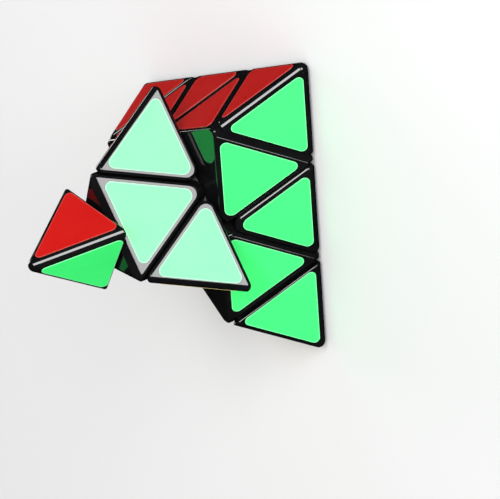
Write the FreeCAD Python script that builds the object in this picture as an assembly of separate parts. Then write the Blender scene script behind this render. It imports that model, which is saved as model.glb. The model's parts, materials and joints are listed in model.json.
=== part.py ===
"""Pyramid twisty puzzle: a tetrahedron with three layers to an edge.

Frame: +Z up, origin at the middle of the base face, which lies on the plane z = 0.
The front (green) face looks along -Y. Lengths are in millimetres, angles in degrees.

Four corners (apex, right, left, rear) each carry a turning layer: a corner centre, the three
edges around it and a small tip. Everything is first built about the puzzle's centre with all
layers lined up. The apex layer and its tip are then turned to the pose the puzzle rests in.
"""
import FreeCAD, Part
import itertools
import math
import os

Vector = FreeCAD.Vector
Rotation = FreeCAD.Rotation

# Driving dimensions
EDGE_LENGTH = 98.0  # pyramid edge, between sharp corners
LAYERS = 3  # cells along an edge
GAP = 0.4  # clearance between neighbouring moving pieces
WALL = 1.8  # shell wall
RIDGE_RADIUS = 1.85  # rounding of the pyramid's own edges
SEAM_RADIUS = 3.2  # rounding between two cut sides, which blunts the cells' inner corners
EDGE_CUT_RADIUS = 1.0  # rounding where an edge piece meets its neighbours
CENTRE_CUT_RADIUS = 0.9  # rounding around a corner centre
CENTRE_CHAMFER = 1.5  # bevel of a corner centre towards its tip
TIP_CUT_RADIUS = 0.45  # rounding at the foot of a tip

# Rest pose
APEX_LAYER_TURN = 40.6  # apex layer, about +Z
APEX_TIP_TURN = -68.1  # apex tip, relative to the apex layer

# Ball-shaped mechanism around the centre
BALL_RADIUS = 11.0  # between the core's ball and the feet
FOOT_RADIUS = 15.5  # between the feet and the outer pieces
FOOT_CONE_ANGLE = 69.5  # half angle of the cone that bounds a layer's feet
EDGE_SEAM_RADIUS = 18.5  # sphere along which an edge splits into shell and foot
PLUG_RADIUS = 23.0  # how far an edge foot's plug reaches into its shell

# Axle stack along a corner's axis, as distances from the puzzle's centre
POST_RADIUS = 3.4
POST_END = 18.0
POST_BORE_CLEARANCE = 0.08
SHELF_BOTTOM = 18.3
SHELF_TOP = 21.0
SHELF_HOLE_RADIUS = 1.8
STEM_RADIUS = 7.9  # outside of a corner centre's stem and of its tube
HUB_RADIUS = 6.0  # tip hub, turning in the corner centre's tube
HUB_CLEARANCE = 0.08
HUB_BOTTOM = 21.05
HUB_FLOOR = 23.0
HUB_POCKET_RADIUS = 4.4
HUB_HOLE_RADIUS = 1.7
TIP_PLATE_THICKNESS = 1.5

# Screw, spring and washer (M3 by 25)
SCREW_RADIUS = 1.45
SCREW_HOLE_RADIUS = 1.5
SCREW_LENGTH = 25.0
SCREW_END_CLEARANCE = 1.0
SCREW_HEAD_RADIUS = 2.8
SCREW_HEAD_HEIGHT = 1.9
SCREW_SLOT_WIDTH = 0.7
SCREW_SLOT_DEPTH = 1.0
WASHER_RADIUS = 4.0
WASHER_HOLE_RADIUS = 1.6
WASHER_THICKNESS = 0.5
SPRING_LENGTH = 10.0
SPRING_RADIUS = 3.1
SPRING_WIRE_RADIUS = 0.35
SPRING_TURNS = 5.5
SPRING_END_CLEARANCE = 0.05

# Stickers: thin vinyl triangles, set in from the lines that divide the cells
STICKER_THICKNESS = 0.15
TIP_STICKER_CORNER_RADIUS = 1.4
STICKER_RIDGE_CORNER_RADIUS = 1.55  # corners next to a ridge
STICKER_INNER_CORNER_RADIUS = 2.0  # corner at the middle of a face
TIP_STICKER_RIDGE_INSET = 2.66
TIP_STICKER_CUT_INSET = 0.85
CENTRE_STICKER_TIP_INSET = 2.72
CENTRE_STICKER_CUT_INSET = 1.50
EDGE_STICKER_RIDGE_INSET = 2.66
EDGE_STICKER_CUT_INSET = 2.17

# Worked out from the above
CELL = EDGE_LENGTH / LAYERS
CORNER_DISTANCE = EDGE_LENGTH * math.sqrt(6) / 4
FACE_DISTANCE = CORNER_DISTANCE / 3
CELL_HEIGHT = CELL * math.sqrt(2 / 3)
TIP_PLANE = CORNER_DISTANCE - CELL_HEIGHT
LAYER_PLANE = TIP_PLANE - CELL_HEIGHT
HALF_GAP = GAP / 2
CONE_SHIFT = HALF_GAP / math.sin(math.radians(FOOT_CONE_ANGLE))
CENTRE_HEIGHT = FACE_DISTANCE + STICKER_THICKNESS
WASHER_BOTTOM = HUB_FLOOR + SPRING_LENGTH
HEAD_BOTTOM = WASHER_BOTTOM + WASHER_THICKNESS

OVERSHOOT = 1.0  # how far a cutting shape reaches past what it cuts

ORIGIN = Vector(0, 0, 0)
SMOOTH_ANGLE = math.radians(5)  # faces that meet at less than this are one smooth surface
BASE_SLOPE = math.asin(1 / 3)  # the base corners lie this far below the horizontal


def base_direction(azimuth):
    """Unit vector from the puzzle's centre to a base corner."""
    level = math.cos(BASE_SLOPE)
    turn = math.radians(azimuth)
    return Vector(level * math.cos(turn), level * math.sin(turn), -math.sin(BASE_SLOPE))


CORNERS = {
    "apex": Vector(0, 0, 1),
    "right": base_direction(-30),
    "left": base_direction(-150),
    "rear": base_direction(90),
}
BASE_CORNERS = ("right", "left", "rear")
EDGES = list(itertools.combinations(CORNERS, 2))

# Each face is named by the corner opposite to it.
FACE_COLOURS = {"rear": "green", "left": "red", "right": "yellow", "apex": "blue"}


# Geometry helpers

def symmetry(corner, other):
    """Rotation of the pyramid onto itself that takes apex to corner and right to other."""
    def basis(first, second):
        along = CORNERS[first]
        across = CORNERS[second] - along * along.dot(CORNERS[second])
        across.normalize()
        return Rotation(across, along.cross(across), along)
    return basis(corner, other).multiply(basis("apex", "right").inverted())


def turned(shape, rotation):
    """Copy of a shape, turned about the puzzle's centre."""
    copy = shape.copy()
    copy.Placement = FreeCAD.Placement(ORIGIN, rotation).multiply(copy.Placement)
    return copy


def polyhedron(planes):
    """Convex solid of the points with normal . point <= distance for every plane."""
    points = []
    for (n1, d1), (n2, d2), (n3, d3) in itertools.combinations(planes, 3):
        scale = n1.dot(n2.cross(n3))
        if abs(scale) < 1e-6:
            continue
        point = (n2.cross(n3) * d1 + n3.cross(n1) * d2 + n1.cross(n2) * d3) * (1 / scale)
        inside = all(n.dot(point) <= d + 1e-6 for n, d in planes)
        if inside and all(point.distanceToPoint(known) > 1e-5 for known in points):
            points.append(point)
    faces = []
    for normal, distance in planes:
        ring = [p for p in points if abs(normal.dot(p) - distance) < 1e-5]
        if len(ring) < 3:
            continue
        middle = sum(ring, Vector()) * (1 / len(ring))
        start = ring[0] - middle
        side = normal.cross(start)
        ring.sort(key=lambda p: math.atan2((p - middle).dot(side), (p - middle).dot(start)))
        faces.append(Part.Face(Part.makePolygon(ring + ring[:1])))
    return Part.makeSolid(Part.makeShell(faces))


def face_planes(corners, inset=0.0):
    """The pyramid's face planes opposite to the given corners, moved inward."""
    return [(CORNERS[name] * -1, FACE_DISTANCE - inset) for name in corners]


def above(corner, distance):
    """Half space on a corner's side of the plane at a distance along its axis."""
    return (CORNERS[corner] * -1, -distance)


def below(corner, distance):
    """Half space on the centre's side of that plane."""
    return (CORNERS[corner], distance)


def ball(radius):
    return Part.makeSphere(radius)


def round_shell(inner, outer):
    """Space between two spheres about the centre."""
    return ball(outer).cut(ball(inner))


def cone(corner, shift):
    """Cone that bounds a layer's feet, with its apex moved along the corner's axis."""
    reach = 2 * FOOT_RADIUS
    slope = math.tan(math.radians(FOOT_CONE_ANGLE))
    solid = Part.makeCone(0, reach * slope, reach, Vector(0, 0, shift))
    return turned(solid, Rotation(Vector(0, 0, 1), CORNERS[corner]))


def foot_bowl():
    """Where the feet of the apex layer slide: between core and corner centres."""
    space = round_shell(BALL_RADIUS + HALF_GAP, FOOT_RADIUS - HALF_GAP)
    return space.common(cone("apex", CONE_SHIFT))


def rod(radius, start, end):
    """Cylinder on the apex axis."""
    return Part.makeCylinder(radius, end - start, Vector(0, 0, start))


def tube(inner, outer, start, end):
    return rod(outer, start, end).cut(rod(inner, start, end))


def lies_on(edge, plane):
    """Whether a straight edge lies in a plane."""
    normal, distance = plane
    return all(abs(normal.dot(vertex.Point) - distance) < 1e-4 for vertex in edge.Vertexes)


def normal_at(face, point):
    u, v = face.Surface.parameter(point)
    return face.normalAt(u, v)


def sharp_edges(shape):
    """Edges whose two faces meet at an angle, and not smoothly."""
    found = []
    for edge in shape.Edges:
        if edge.Degenerated:
            continue
        middle = edge.valueAt((edge.FirstParameter + edge.LastParameter) / 2)
        first, second = [normal_at(f, middle) for f in shape.ancestorsOfType(edge, Part.Face)]
        if first.getAngle(second) > SMOOTH_ANGLE:
            found.append(edge)
    return found


def rounded_pyramid():
    whole = polyhedron(face_planes(CORNERS))
    return whole.makeFillet(RIDGE_RADIUS, whole.Edges)


def block(planes, sides, radius):
    """Polyhedron between planes and sides, rounded where two of the sides meet."""
    solid = polyhedron(planes + sides)
    seams = [e for e in solid.Edges if sum(lies_on(e, plane) for plane in sides) == 2]
    return solid.makeFillet(radius, seams)


PYRAMID = rounded_pyramid()


# Core and axle

def core():
    """Ball with one post to each corner, drilled for the axle screws."""
    body = ball(BALL_RADIUS - HALF_GAP)
    screw_end = HEAD_BOTTOM - SCREW_LENGTH - SCREW_END_CLEARANCE
    for corner in CORNERS:
        to_corner = Rotation(Vector(0, 0, 1), CORNERS[corner])
        body = body.fuse(turned(rod(POST_RADIUS, 0, POST_END), to_corner))
    for corner in CORNERS:
        to_corner = Rotation(Vector(0, 0, 1), CORNERS[corner])
        body = body.cut(turned(rod(SCREW_HOLE_RADIUS, screw_end, POST_END + OVERSHOOT), to_corner))
    return body.removeSplitter()


def screw():
    """Pan-head screw on the apex axis, with a cross recess."""
    shank = rod(SCREW_RADIUS, HEAD_BOTTOM - SCREW_LENGTH, HEAD_BOTTOM)
    head = rod(SCREW_HEAD_RADIUS, HEAD_BOTTOM, HEAD_BOTTOM + SCREW_HEAD_HEIGHT)
    top = [e for e in head.Edges if abs(e.BoundBox.ZMin - head.BoundBox.ZMax) < 1e-6]
    body = shank.fuse(head.makeFillet(SCREW_HEAD_HEIGHT / 2, top))
    slot_length = 1.3 * SCREW_HEAD_RADIUS
    slot_bottom = HEAD_BOTTOM + SCREW_HEAD_HEIGHT - SCREW_SLOT_DEPTH
    for length, width in ((slot_length, SCREW_SLOT_WIDTH), (SCREW_SLOT_WIDTH, slot_length)):
        corner = Vector(-length / 2, -width / 2, slot_bottom)
        body = body.cut(Part.makeBox(length, width, 2 * SCREW_SLOT_DEPTH, corner))
    return body


def washer():
    return tube(WASHER_HOLE_RADIUS, WASHER_RADIUS, WASHER_BOTTOM, HEAD_BOTTOM)


def spring():
    """Compression spring on the apex axis, between the tip hub's floor and the washer."""
    height = SPRING_LENGTH - 2 * (SPRING_WIRE_RADIUS + SPRING_END_CLEARANCE)
    coil = Part.makeHelix(height / SPRING_TURNS, height, SPRING_RADIUS)
    circle = Part.Circle(Vector(SPRING_RADIUS, 0, 0), Vector(0, 1, 0), SPRING_WIRE_RADIUS)
    wire = Part.Wire(coil.Edges).makePipeShell([Part.Wire(circle.toShape())], True, True)
    wire.translate(Vector(0, 0, HUB_FLOOR + SPRING_WIRE_RADIUS + SPRING_END_CLEARANCE))
    return wire


# Tip: a cap snapped over a base whose hub turns in the corner centre

def tip_cap():
    outside = PYRAMID.common(polyhedron(
        face_planes(BASE_CORNERS, -OVERSHOOT) + [above("apex", TIP_PLANE + HALF_GAP)]))
    outside = outside.makeFillet(TIP_CUT_RADIUS, sharp_edges(outside))
    hollow = polyhedron(
        face_planes(BASE_CORNERS, WALL) + [above("apex", TIP_PLANE - OVERSHOOT)])
    return outside.cut(hollow)


def tip_base():
    plate_bottom = TIP_PLANE + HALF_GAP
    plate_top = plate_bottom + TIP_PLATE_THICKNESS
    plate = polyhedron(
        face_planes(BASE_CORNERS, WALL) + [above("apex", plate_bottom), below("apex", plate_top)]
    )
    body = plate.fuse(rod(HUB_RADIUS, HUB_BOTTOM, plate_top))
    body = body.cut(rod(HUB_POCKET_RADIUS, HUB_FLOOR, plate_top + OVERSHOOT))
    return body.cut(rod(HUB_HOLE_RADIUS, HUB_BOTTOM - OVERSHOOT, HUB_FLOOR + OVERSHOOT)).removeSplitter()


# Corner centre: an eight-sided shell on a three-lobed foot

def tip_chamfers():
    """Planes that bevel a corner centre's outer edges towards its tip."""
    planes = []
    for name in BASE_CORNERS:
        normal = CORNERS["apex"] - CORNERS[name]
        half_turn = CORNERS["apex"].getAngle(normal)
        normal.normalize()
        edge = (FACE_DISTANCE + TIP_PLANE - HALF_GAP) / (2 * math.cos(half_turn))
        planes.append((normal, edge - CENTRE_CHAMFER * math.sin(half_turn)))
    return planes


def corner_outside():
    cuts = tip_chamfers() + [below("apex", TIP_PLANE - HALF_GAP)]
    sides = [below(name, LAYER_PLANE - HALF_GAP) for name in BASE_CORNERS]
    body = block(face_planes(BASE_CORNERS) + cuts, sides, SEAM_RADIUS)
    return body.makeFillet(CENTRE_CUT_RADIUS, sharp_edges(body))


def corner_shell():
    floor = polyhedron(face_planes(CORNERS, -OVERSHOOT) + [above("apex", LAYER_PLANE + HALF_GAP)])
    outside = corner_outside().common(floor).cut(ball(FOOT_RADIUS + HALF_GAP))
    hollow = block(
        face_planes(BASE_CORNERS, WALL)
        + [below("apex", TIP_PLANE - HALF_GAP - WALL), above("apex", 0)],
        [below(name, LAYER_PLANE - HALF_GAP - WALL) for name in BASE_CORNERS],
        SEAM_RADIUS - WALL)
    hollow = hollow.cut(rod(STEM_RADIUS, SHELF_TOP, TIP_PLANE))
    shell = outside.cut(hollow)
    return shell.cut(rod(HUB_RADIUS + HUB_CLEARANCE, 0, TIP_PLANE + OVERSHOOT))


def corner_foot():
    stem = rod(STEM_RADIUS, 0, SHELF_TOP).cut(ball(BALL_RADIUS + HALF_GAP))
    body = foot_bowl().fuse(stem)
    for name in BASE_CORNERS:
        body = body.cut(cone(name, -CONE_SHIFT))
    body = body.cut(rod(POST_RADIUS + POST_BORE_CLEARANCE, 0, SHELF_BOTTOM))
    hole = rod(SHELF_HOLE_RADIUS, SHELF_BOTTOM - OVERSHOOT, SHELF_TOP + OVERSHOOT)
    return body.cut(hole).removeSplitter()


# Edge: a four-sided shell plugged onto a lens-shaped foot

def edge_outside():
    sides = [above(name, LAYER_PLANE + HALF_GAP) for name in ("apex", "right")]
    body = PYRAMID.common(block(face_planes(CORNERS, -OVERSHOOT), sides, SEAM_RADIUS))
    return body.makeFillet(EDGE_CUT_RADIUS, sharp_edges(body))


def edge_hollow():
    sides = [above(name, LAYER_PLANE + HALF_GAP + WALL) for name in ("apex", "right")]
    return block(face_planes(("left", "rear"), WALL), sides, SEAM_RADIUS - WALL)


def edge_shell():
    return edge_outside().cut(ball(EDGE_SEAM_RADIUS)).cut(edge_hollow())


def edge_foot():
    lens = foot_bowl().common(cone("right", CONE_SHIFT))
    neck = edge_outside().common(round_shell(FOOT_RADIUS - 2 * GAP, EDGE_SEAM_RADIUS))
    plug = edge_hollow().common(round_shell(EDGE_SEAM_RADIUS - OVERSHOOT, PLUG_RADIUS))
    return lens.fuse([neck, plug]).removeSplitter()


# Stickers

def inset_triangle(points, insets):
    """Triangle whose side from point k to point k + 1 has moved inward by insets[k]."""
    normal = (points[1] - points[0]).cross(points[2] - points[0])
    normal.normalize()
    sides = []
    for index, inset in enumerate(insets):
        start = points[index]
        along = points[(index + 1) % 3] - start
        along.normalize()
        sides.append((start + normal.cross(along) * inset, along))
    corners = []
    for index in range(3):
        start, along = sides[index]
        other_start, other_along = sides[index - 1]
        across = normal.cross(other_along)
        corners.append(start + along * ((other_start - start).dot(across) / along.dot(across)))
    return corners


def rounded_triangle(points, radii):
    """Flat face with the outline of a triangle, rounded at point k with radii[k]."""
    outline = []
    arcs = []
    for index, radius in enumerate(radii):
        corner = points[index]
        to_next = points[(index + 1) % 3] - corner
        to_last = points[index - 1] - corner
        to_next.normalize()
        to_last.normalize()
        half_angle = to_next.getAngle(to_last) / 2
        run = radius / math.tan(half_angle)
        inward = to_next + to_last
        inward.normalize()
        middle = corner + inward * (radius / math.sin(half_angle) - radius)
        arcs.append((corner + to_last * run, middle, corner + to_next * run))
    for index, (start, middle, end) in enumerate(arcs):
        outline.append(Part.Arc(start, middle, end).toShape())
        outline.append(Part.makeLine(end, arcs[(index + 1) % 3][0]))
    return Part.Face(Part.Wire(outline))


def sticker(points, insets, radii):
    """Sticker on the face opposite to right, over the cell with these corner points."""
    face = rounded_triangle(inset_triangle(points, insets), radii)
    return face.extrude(CORNERS["right"] * -STICKER_THICKNESS)


def along_ridge(start, end, cells):
    """Point on a ridge of the pyramid, a number of cells from its start corner."""
    first = CORNERS[start] * CORNER_DISTANCE
    last = CORNERS[end] * CORNER_DISTANCE
    return first + (last - first) * (cells / LAYERS)


FACE_MIDDLE = CORNERS["right"] * -FACE_DISTANCE
CELL_CORNER_RADII = [STICKER_RIDGE_CORNER_RADIUS] * 2 + [STICKER_INNER_CORNER_RADIUS]

# One sticker of each kind: those of the apex, and that of the edge opposite to the apex.
STICKERS = {
    "tip": sticker(
        [CORNERS["apex"] * CORNER_DISTANCE, along_ridge("apex", "left", 1),
         along_ridge("apex", "rear", 1)],
        [TIP_STICKER_RIDGE_INSET, TIP_STICKER_CUT_INSET, TIP_STICKER_RIDGE_INSET],
        [TIP_STICKER_CORNER_RADIUS] * 3),
    "centre": sticker(
        [along_ridge("apex", "left", 1), along_ridge("apex", "rear", 1), FACE_MIDDLE],
        [CENTRE_STICKER_TIP_INSET, CENTRE_STICKER_CUT_INSET, CENTRE_STICKER_CUT_INSET],
        CELL_CORNER_RADII),
    "edge": sticker(
        [along_ridge("left", "rear", 1), along_ridge("left", "rear", 2), FACE_MIDDLE],
        [EDGE_STICKER_RIDGE_INSET, EDGE_STICKER_CUT_INSET, EDGE_STICKER_CUT_INSET],
        CELL_CORNER_RADII),
}


def placed_sticker(kind, corner, face):
    """Sticker of a kind on a face. For an edge, corner is the one opposite to the edge."""
    return turned(STICKERS[kind], symmetry(corner, face))


def opposite_corner(edge, face):
    """The corner of a face that an edge of the face does not touch."""
    return next(name for name in CORNERS if name not in edge and name != face)


# Assembly: {node: [solids]}, first with every layer lined up

def layer_stickers(corners, edges):
    """Stickers of some corner centres and edges, sorted by colour."""
    sorted_stickers = {colour: [] for colour in FACE_COLOURS.values()}
    for face, colour in FACE_COLOURS.items():
        for corner in corners:
            if corner != face:
                sorted_stickers[colour].append(placed_sticker("centre", corner, face))
        for edge in edges:
            if face not in edge:
                away = opposite_corner(edge, face)
                sorted_stickers[colour].append(placed_sticker("edge", away, face))
    return {colour: solids for colour, solids in sorted_stickers.items() if solids}


def edge_name(edge):
    return "_".join(edge)


def at_corner(shape, corner):
    """A shape built on the apex axis, moved to a corner."""
    other = next(name for name in ("right", "apex") if name != corner)
    return turned(shape, symmetry(corner, other))


apex_edges = [edge for edge in EDGES if "apex" in edge]
base_edges = [edge for edge in EDGES if "apex" not in edge]

fixed = {"core": [core()]}
apex_layer = {}
apex_tip = {}

screw_shape = screw()
washer_shape = washer()
spring_shape = spring()
fixed["axle_screws"] = [at_corner(screw_shape, corner) for corner in CORNERS]
fixed["screw_washers"] = [at_corner(washer_shape, corner) for corner in CORNERS]
for corner in CORNERS:
    fixed["spring_" + corner] = [at_corner(spring_shape, corner)]

corner_shapes = {"corner_shell": corner_shell(), "corner_foot": corner_foot()}
for corner in CORNERS:
    group = apex_layer if corner == "apex" else fixed
    for part_name, shape in corner_shapes.items():
        group[part_name + "_" + corner] = [at_corner(shape, corner)]

edge_shapes = {"edge_shell": edge_shell(), "edge_foot": edge_foot()}
for edge in EDGES:
    group = apex_layer if edge in apex_edges else fixed
    for part_name, shape in edge_shapes.items():
        group[part_name + "_" + edge_name(edge)] = [turned(shape, symmetry(*edge))]

for colour, solids in layer_stickers(["apex"], apex_edges).items():
    apex_layer["apex_layer_stickers_" + colour] = solids
for colour, solids in layer_stickers(BASE_CORNERS, base_edges).items():
    fixed["lower_stickers_" + colour] = solids

tip_shapes = {"tip_cap": tip_cap(), "tip_base": tip_base()}
for corner in CORNERS:
    group = apex_tip if corner == "apex" else fixed
    for part_name, shape in tip_shapes.items():
        group[part_name + "_" + corner] = [at_corner(shape, corner)]
    for face, colour in FACE_COLOURS.items():
        if face != corner:
            solids = [placed_sticker("tip", corner, face)]
            group["tip_sticker_" + colour + "_" + corner] = solids


# Rest pose and export

def write_nodes(nodes, turn):
    """Turn a group about the apex axis, lift it onto the base plane and write each node."""
    rotation = Rotation(Vector(0, 0, 1), turn)
    for name, solids in nodes.items():
        shape = Part.makeCompound([turned(solid, rotation) for solid in solids])
        if len(solids) == 1:
            shape = turned(solids[0], rotation)
        shape.translate(Vector(0, 0, CENTRE_HEIGHT))
        shape.exportStep(os.path.join("parts", name + ".step"))


os.makedirs("parts", exist_ok=True)
write_nodes(fixed, 0.0)
write_nodes(apex_layer, APEX_LAYER_TURN)
write_nodes(apex_tip, APEX_LAYER_TURN + APEX_TIP_TURN)
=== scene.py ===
"""Looks of the pyramid twisty puzzle: materials, soft studio light and the camera."""

import json
import math

import bpy
from mathutils import Matrix, Vector

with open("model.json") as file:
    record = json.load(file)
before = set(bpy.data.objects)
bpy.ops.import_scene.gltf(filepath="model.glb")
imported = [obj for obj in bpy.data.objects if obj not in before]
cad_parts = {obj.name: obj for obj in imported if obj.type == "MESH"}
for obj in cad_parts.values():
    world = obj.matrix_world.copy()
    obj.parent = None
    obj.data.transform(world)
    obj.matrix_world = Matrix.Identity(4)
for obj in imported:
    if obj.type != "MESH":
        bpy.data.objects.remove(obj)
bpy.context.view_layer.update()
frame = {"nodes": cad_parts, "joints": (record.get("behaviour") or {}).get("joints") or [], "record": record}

# Lengths are in metres, angles in degrees. The puzzle's four axes meet at CENTRE.
CENTRE = Vector(frame["joints"][0]["pos_m"])

# Camera: seen from the front right, rolled so that the apex points left
CAMERA_AZIMUTH = -50.6
CAMERA_ELEVATION = 26.7
CAMERA_ROLL = -114.4
CAMERA_DISTANCE = 1.516
CAMERA_LENS_MM = 400.4
SENSOR_MM = 36.0
AIM_RIGHT = 0.0134
AIM_UP = -0.0159

CLIP_NEAR = 0.05
CLIP_FAR = 50

FLOOR_SIZE = 24.0
FLOOR_DROP = 0.0001  # keeps the floor clear of the stickers on the base

WORLD_STRENGTH = 0.56

# Softboxes: azimuth, elevation, distance, width and height, power in watts
SOFTBOXES = {
    "front_softbox": (-47, 12.5, 1.9, (1.0, 1.0), 33),  # mirrored by the apex layer's green face
    "top_softbox": (-32, 42, 2.0, (1.3, 0.5), 27),  # lines along the ridges
    "low_softbox": (-114, 3.2, 2.0, (0.22, 0.2), 1.3),  # lines along the seams of the front face
    "back_softbox": (96, 6, 2.2, (1.2, 0.4), 16),  # haze on the red face
}

# Finishes: roughness from smooth to dull, and what a scratch adds to it
GLOSS_ROUGHNESS = (0.05, 0.09)
GLOSS_SCRATCH = 0.06
VINYL_ROUGHNESS = (0.27, 0.31)
VINYL_SCRATCH = 0.05
VINYL_MOTTLE = 0.96  # how dark the mottling gets
PLASTIC_IOR = 1.53
VINYL_IOR = 1.5

# Stickers
RIM_WIDTH = 0.0004
RIM_COSINE = 0.95  # how far the normal leans where the pale rim (pale vinyl core plus painted highlight) is fully painted
BEVEL_WIDTH = 0.00005
BEVEL_SEGMENTS = 2

# Sockets of a Mix node set to colours
MIX_FIRST, MIX_SECOND, MIX_RESULT = 6, 7, 2


def direction(azimuth, elevation):
    """Unit vector; azimuth is counted from +X towards +Y."""
    turn, rise = math.radians(azimuth), math.radians(elevation)
    level = math.cos(rise)
    return Vector((level * math.cos(turn), level * math.sin(turn), math.sin(rise)))


# Picture axes: across to the right, up, and back towards the camera
BACK = direction(CAMERA_AZIMUTH, CAMERA_ELEVATION)
upright_right = Vector((0, 0, 1)).cross(BACK).normalized()
roll = Matrix.Rotation(math.radians(CAMERA_ROLL), 3, BACK)
RIGHT = roll @ upright_right
UP = BACK.cross(RIGHT)


# Node-tree helpers

class Shader:
    """A material's node tree with short calls to add and link nodes."""

    def __init__(self, name):
        self.material = bpy.data.materials.new(name)
        self.material.use_nodes = True
        self.tree = self.material.node_tree
        self.bsdf = self.tree.nodes["Principled BSDF"]
        self.place = self.add("ShaderNodeTexCoord").outputs["Object"]

    def add(self, kind, **settings):
        node = self.tree.nodes.new(kind)
        for key, value in settings.items():
            setattr(node, key, value)
        return node

    def link(self, source, target):
        self.tree.links.new(source, target)

    def feed(self, socket, value):
        """Link an input to a socket, or set it to a number or colour."""
        if hasattr(value, "links"):
            self.link(value, socket)
        elif isinstance(value, tuple):
            socket.default_value = (*value, 1)
        else:
            socket.default_value = value

    def noise(self, size, detail, place=None):
        """Noise from 0 to 1 with features of a given size in metres."""
        node = self.add("ShaderNodeTexNoise")
        self.link(place or self.place, node.inputs["Vector"])
        node.inputs["Scale"].default_value = 1 / size
        node.inputs["Detail"].default_value = detail
        return node.outputs["Fac"]

    def stretched(self, scale, turn):
        """Coordinates squeezed along one direction, for scratches."""
        node = self.add("ShaderNodeMapping")
        self.link(self.place, node.inputs["Vector"])
        node.inputs["Scale"].default_value = scale
        node.inputs["Rotation"].default_value = [math.radians(angle) for angle in turn]
        return node.outputs["Vector"]

    def span(self, value, low, high, to_low, to_high):
        """Map a value from low..high to to_low..to_high, clamped."""
        node = self.add("ShaderNodeMapRange")
        self.link(value, node.inputs["Value"])
        node.inputs["From Min"].default_value = low
        node.inputs["From Max"].default_value = high
        node.inputs["To Min"].default_value = to_low
        node.inputs["To Max"].default_value = to_high
        return node.outputs["Result"]

    def total(self, first, second):
        """Sum of two sockets."""
        node = self.add("ShaderNodeMath", operation="ADD")
        self.link(first, node.inputs[0])
        self.link(second, node.inputs[1])
        return node.outputs["Value"]

    def mix(self, factor, first, second):
        """Mix two colours."""
        node = self.add("ShaderNodeMix", data_type="RGBA")
        self.feed(node.inputs["Factor"], factor)
        self.feed(node.inputs[MIX_FIRST], first)
        self.feed(node.inputs[MIX_SECOND], second)
        return node.outputs[MIX_RESULT]

    def bump(self, height, distance, normal=None):
        node = self.add("ShaderNodeBump")
        self.link(height, node.inputs["Height"])
        node.inputs["Distance"].default_value = distance
        node.inputs["Strength"].default_value = 1
        if normal is not None:
            self.link(normal, node.inputs["Normal"])
        return node.outputs["Normal"]

    def rim(self, radius):
        """0 on flat ground, rising to 1 within a radius of a sharp edge."""
        bevel = self.add("ShaderNodeBevel", samples=6)
        bevel.inputs["Radius"].default_value = radius
        geometry = self.add("ShaderNodeNewGeometry")
        dot = self.add("ShaderNodeVectorMath", operation="DOT_PRODUCT")
        self.link(bevel.outputs["Normal"], dot.inputs[0])
        self.link(geometry.outputs["True Normal"], dot.inputs[1])
        return self.span(dot.outputs["Value"], 1, RIM_COSINE, 0, 1)

    def surface(self, **inputs):
        """Fill the Principled BSDF's inputs; underscores stand for spaces."""
        for name, value in inputs.items():
            self.feed(self.bsdf.inputs[name.replace("_", " ")], value)
        return self.material


# Materials

def gloss_black():
    """Polished black moulding: faint smears, hairline scratches and slight sink marks."""
    s = Shader("gloss_black_plastic")
    smear = s.span(s.noise(0.012, 4), 0.4, 0.7, 0, 1)
    hairs = s.noise(0.004, 2, place=s.stretched((1, 14, 1), (20, 35, 50)))
    scratch = s.span(hairs, 0.66, 0.72, 0, GLOSS_SCRATCH)
    roughness = s.total(s.span(smear, 0, 1, *GLOSS_ROUGHNESS), scratch)
    colour = s.mix(smear, (0.0035, 0.0035, 0.004), (0.0065, 0.0065, 0.007))
    sink = s.bump(s.noise(0.006, 1), 0.00004)
    grain = s.bump(s.noise(0.0003, 2), 0.000002, normal=sink)
    return s.surface(Base_Color=colour, Roughness=roughness, Normal=grain, IOR=PLASTIC_IOR)


def satin_black():
    """Inner mouldings: black plastic with a spark-eroded matte grain."""
    s = Shader("satin_black_plastic")
    patches = s.noise(0.005, 3)
    colour = s.mix(patches, (0.008, 0.008, 0.009), (0.018, 0.018, 0.02))
    grain = s.bump(s.noise(0.00025, 2), 0.000012)
    return s.surface(Base_Color=colour, Roughness=s.span(patches, 0.3, 0.7, 0.36, 0.5), Normal=grain)


def metal(name, colour, roughness):
    """Plated steel with drawn streaks."""
    s = Shader(name)
    streaks = s.noise(0.0008, 3, place=s.stretched((1, 1, 8), (0, 0, 0)))
    tint = s.mix(streaks, tuple(0.8 * part for part in colour), colour)
    return s.surface(
        Base_Color=tint,
        Metallic=1.0,
        Roughness=s.span(streaks, 0.3, 0.7, roughness * 0.7, roughness * 1.4),
        Normal=s.bump(s.noise(0.0004, 2), 0.000004),
    )


def vinyl(name, colour, rim_core_and_highlight_colour):
    """Satin vinyl sticker with faint mottling, handling marks and a paler cut rim that is partly the vinyl's
    pale core and partly a painted highlight.
    """
    s = Shader(name)
    mottle = s.noise(0.007, 4)
    darker = tuple(VINYL_MOTTLE * part for part in colour)
    body = s.mix(s.span(mottle, 0.3, 0.7, 0, 1), darker, colour)
    # painted highlight: the pale rim colour along the cut edge stands partly for the vinyl's pale core and
    # partly for light caught by the edge
    body_with_rim_core_and_highlight = s.mix(s.rim(RIM_WIDTH), body, rim_core_and_highlight_colour)
    hairs = s.noise(0.003, 2, place=s.stretched((1, 10, 1), (35, 15, 60)))
    scratch = s.span(hairs, 0.68, 0.74, 0, VINYL_SCRATCH)
    roughness = s.total(s.span(mottle, 0.3, 0.7, *VINYL_ROUGHNESS), scratch)
    peel = s.bump(s.noise(0.0011, 2), 0.000006)
    return s.surface(Base_Color=body_with_rim_core_and_highlight, Roughness=roughness, Normal=peel, IOR=VINYL_IOR)


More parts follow.
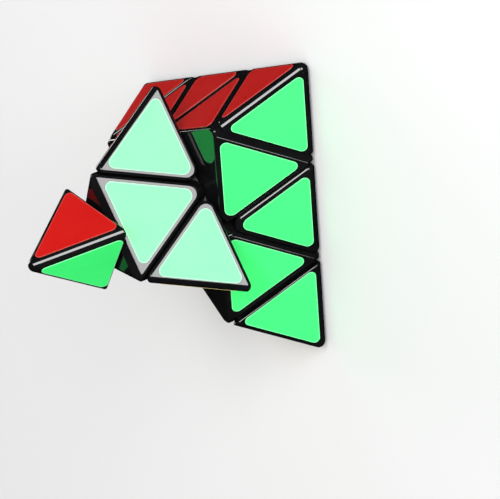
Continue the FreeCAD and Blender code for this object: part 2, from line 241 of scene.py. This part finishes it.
MATERIALS = {
    "black_plastic": gloss_black(),
    "inner_plastic": satin_black(),
    "core_plastic": satin_black(),
    "zinc_steel": metal("zinc_steel", (0.72, 0.73, 0.76), 0.22),
    "spring_steel": metal("spring_steel", (0.5, 0.5, 0.52), 0.3),
    # the second colour of each sticker is its pale rim: partly the vinyl's pale core and partly a painted
    # highlight on the cut edge
    "sticker_green": vinyl("vinyl_green", (0.04, 0.86, 0.17), (0.26, 0.92, 0.42)),
    "sticker_red": vinyl("vinyl_red", (0.43, 0.003, 0.0015), (0.55, 0.07, 0.06)),
    "sticker_yellow": vinyl("vinyl_yellow", (0.9, 0.66, 0.02), (0.95, 0.85, 0.4)),
    "sticker_blue": vinyl("vinyl_blue", (0.012, 0.11, 0.6), (0.25, 0.4, 0.85)),
}

for subpart in frame["record"]["subparts"]:
    piece = frame["nodes"][subpart["node"]]
    piece.data.materials.clear()
    piece.data.materials.append(MATERIALS[subpart["material_slot"]])
    if subpart["material_slot"].startswith("sticker"):
        bevel = piece.modifiers.new("cut_edge", "BEVEL")
        bevel.width = BEVEL_WIDTH
        bevel.segments = BEVEL_SEGMENTS
        bevel.limit_method = "ANGLE"
        bevel.harden_normals = True


# Studio

def make_floor():
    """Plain pale paper, which gloss doesn't mirror either."""
    half = FLOOR_SIZE / 2
    mesh = bpy.data.meshes.new("floor")
    square = ((-half, -half), (half, -half), (half, half), (-half, half))
    mesh.from_pydata([(x, y, -FLOOR_DROP) for x, y in square], [], [(0, 1, 2, 3)])
    floor = bpy.data.objects.new("floor", mesh)
    bpy.context.scene.collection.objects.link(floor)
    s = Shader("floor_paper")
    tone = s.mix(s.noise(0.4, 2), (0.765, 0.765, 0.765), (0.785, 0.785, 0.785))
    mesh.materials.append(s.surface(Base_Color=tone, Roughness=0.9, Specular_IOR_Level=0.1))
    floor.visible_glossy = False


def softbox(name, offset, size, power):
    """Area light at an offset from the puzzle, facing it."""
    data = bpy.data.lights.new(name, "AREA")
    data.shape = "RECTANGLE"
    data.size, data.size_y = size
    data.energy = power
    lamp = bpy.data.objects.new(name, data)
    bpy.context.scene.collection.objects.link(lamp)
    lamp.location = CENTRE + offset
    lamp.rotation_euler = offset.to_track_quat("Z", "Y").to_euler()


def make_lights():
    """Softboxes and a plain white world, which gloss doesn't mirror so that black stays black."""
    for name, (azimuth, elevation, distance, size, power) in SOFTBOXES.items():
        softbox(name, direction(azimuth, elevation) * distance, size, power)
    world = bpy.data.worlds.new("studio")
    bpy.context.scene.world = world
    world.use_nodes = True
    background = world.node_tree.nodes["Background"]
    background.inputs["Color"].default_value = (1, 1, 1, 1)
    background.inputs["Strength"].default_value = WORLD_STRENGTH
    world.cycles_visibility.glossy = False


def make_camera():
    data = bpy.data.cameras.new("camera")
    data.sensor_width = SENSOR_MM
    data.lens = CAMERA_LENS_MM
    data.clip_start, data.clip_end = CLIP_NEAR, CLIP_FAR
    camera = bpy.data.objects.new("camera", data)
    bpy.context.scene.collection.objects.link(camera)
    aim = CENTRE + RIGHT * AIM_RIGHT + UP * AIM_UP
    turn = Matrix((RIGHT, UP, BACK)).transposed()
    camera.matrix_world = Matrix.Translation(aim + BACK * CAMERA_DISTANCE) @ turn.to_4x4()
    bpy.context.scene.camera = camera


make_floor()
make_lights()
make_camera()
bpy.context.scene.view_settings.view_transform = "Standard"
